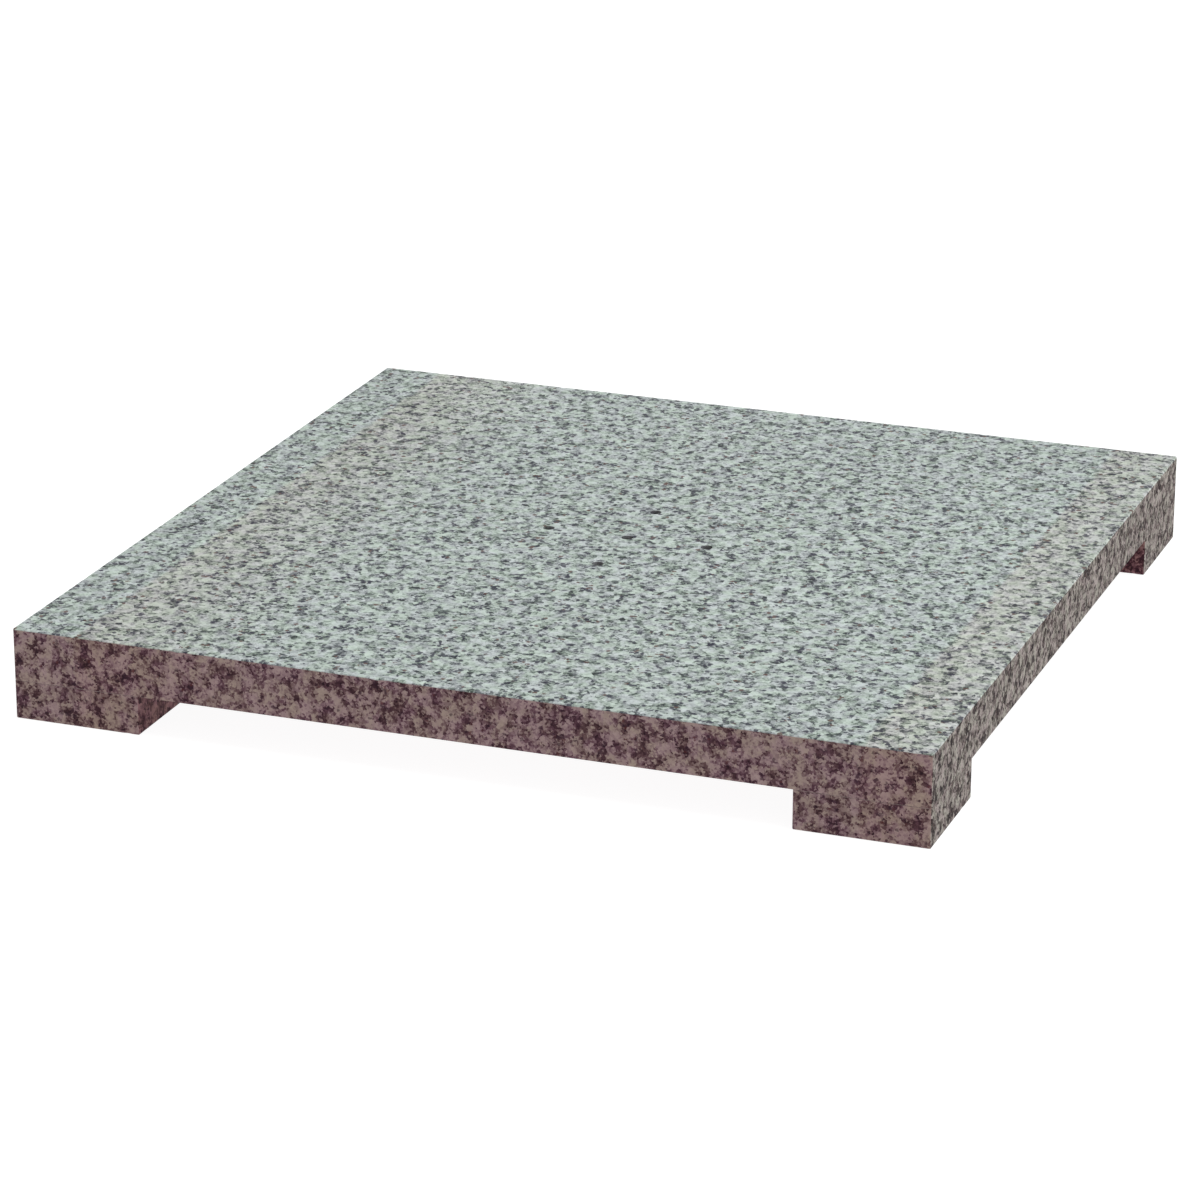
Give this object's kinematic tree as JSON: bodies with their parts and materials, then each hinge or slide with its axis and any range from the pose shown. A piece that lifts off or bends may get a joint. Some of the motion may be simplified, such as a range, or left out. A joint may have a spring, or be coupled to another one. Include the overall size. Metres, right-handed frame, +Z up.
{
  "type": "granite base slab",
  "caption": "Square granite base slab on raised corner feet, with small plain bores through its middle for a bolted flange.",
  "frame": {"origin": "on the ground, under the slab's centre", "axes": "+Z up through the slab's centre bore, +X and +Y along the slab's sides, -Y the front"},
  "size_m": [0.7, 0.7, 0.07],
  "materials": {
    "slab_granite": "satin",
    "foot_granite": "matte",
    "resin": "satin",
    "stainless": "satin"
  },
  "bodies": {
    "root": {"slab": "slab_granite", "foot_front_left": "foot_granite", "foot_front_right": "foot_granite", "foot_back_right": "foot_granite", "foot_back_left": "foot_granite", "resin_bed_front_left": "resin", "resin_bed_front_right": "resin", "resin_bed_back_right": "resin", "resin_bed_back_left": "resin", "dowel_front_left_a": "stainless", "dowel_front_left_b": "stainless", "dowel_front_right_a": "stainless", "dowel_front_right_b": "stainless", "dowel_back_right_a": "stainless", "dowel_back_right_b": "stainless", "dowel_back_left_a": "stainless", "dowel_back_left_b": "stainless"}
  },
  "joints": []
}
